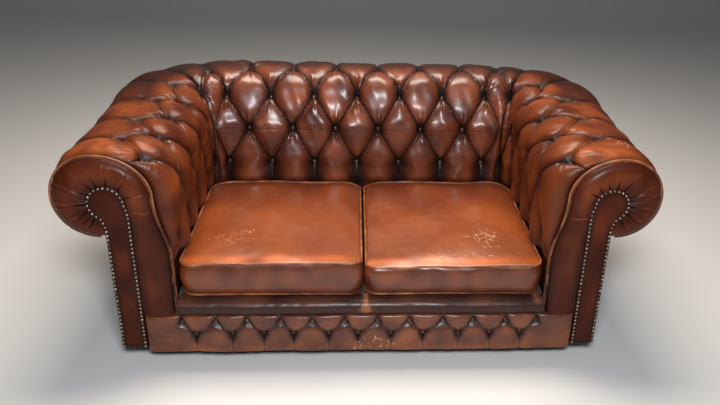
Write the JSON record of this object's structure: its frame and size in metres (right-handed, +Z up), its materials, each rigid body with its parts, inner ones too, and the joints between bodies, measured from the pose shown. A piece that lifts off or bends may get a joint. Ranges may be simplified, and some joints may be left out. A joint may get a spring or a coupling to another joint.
{
  "type": "deep-buttoned scroll-arm leather sofa",
  "caption": "Worn brown leather sofa with a deep-buttoned back and scroll arms, loose piped cushions, a buttoned lower border and nailed arm fronts.",
  "frame": {"origin": "on the floor, under the middle of the sofa's overall box", "axes": "+X to the right as seen from the front, +Y from the front towards the back, +Z up"},
  "size_m": [1.7008, 0.9554, 0.701],
  "materials": {
    "antique_leather": "waxed antique brown hide, dark in the folds and rubbed tan on the crests",
    "dark_leather": "dark antique brown hide, semi-gloss",
    "worn_leather": "rubbed orange-tan hide with scratches, semi-gloss",
    "beech": "sawn, unfinished",
    "plywood": "cut ply, unfinished",
    "dark_wood": "turned and stained, satin",
    "spring_steel": "oiled spring wire",
    "foam": "matt polyurethane foam",
    "felt": "needled felt",
    "black_cloth": "thin black lining cloth",
    "aged_brass": "tarnished, rubbed bright on the domes"
  },
  "bodies": {
    "root": {"left_arm_upholstery": "antique_leather", "right_arm_upholstery": "antique_leather", "back_upholstery": "antique_leather", "left_arm_front_board": "plywood", "left_scroll_front": "antique_leather", "left_facing": "dark_leather", "left_arm_piping": "worn_leather", "right_arm_front_board": "plywood", "right_scroll_front": "antique_leather", "right_facing": "dark_leather", "right_arm_piping": "worn_leather", "front_rail": "beech", "back_rail": "beech", "left_side_rail": "beech", "right_side_rail": "beech", "centre_cross_rail": "beech", "front_left_corner_block": "beech", "front_right_corner_block": "beech", "rear_left_corner_block": "beech", "rear_right_corner_block": "beech", "left_arm_top_rail": "beech", "left_arm_tack_rail": "beech", "left_back_post": "beech", "right_arm_top_rail": "beech", "right_arm_tack_rail": "beech", "right_back_post": "beech", "back_centre_post": "beech", "back_top_rail": "beech", "back_tack_rail": "beech", "seat_spring_1": "spring_steel", "seat_spring_2": "spring_steel", "seat_spring_3": "spring_steel", "seat_spring_4": "spring_steel", "seat_spring_5": "spring_steel", "seat_spring_6": "spring_steel", "platform_cloth": "black_cloth", "seat_padding": "felt", "front_lip": "dark_leather", "buttoned_border": "antique_leather", "left_outside_panel": "dark_leather", "right_outside_panel": "dark_leather", "outside_back_panel": "dark_leather", "dust_cover": "black_cloth", "front_left_foot": "dark_wood", "front_right_foot": "dark_wood", "rear_left_foot": "dark_wood", "rear_right_foot": "dark_wood", "left_cushion_cover": "worn_leather", "left_cushion_core": "foam", "left_cushion_zip": "aged_brass", "left_cushion_top_welt": "worn_leather", "left_cushion_bottom_welt": "worn_leather", "right_cushion_cover": "worn_leather", "right_cushion_core": "foam", "right_cushion_zip": "aged_brass", "right_cushion_top_welt": "worn_leather", "right_cushion_bottom_welt": "worn_leather"}
  },
  "joints": []
}
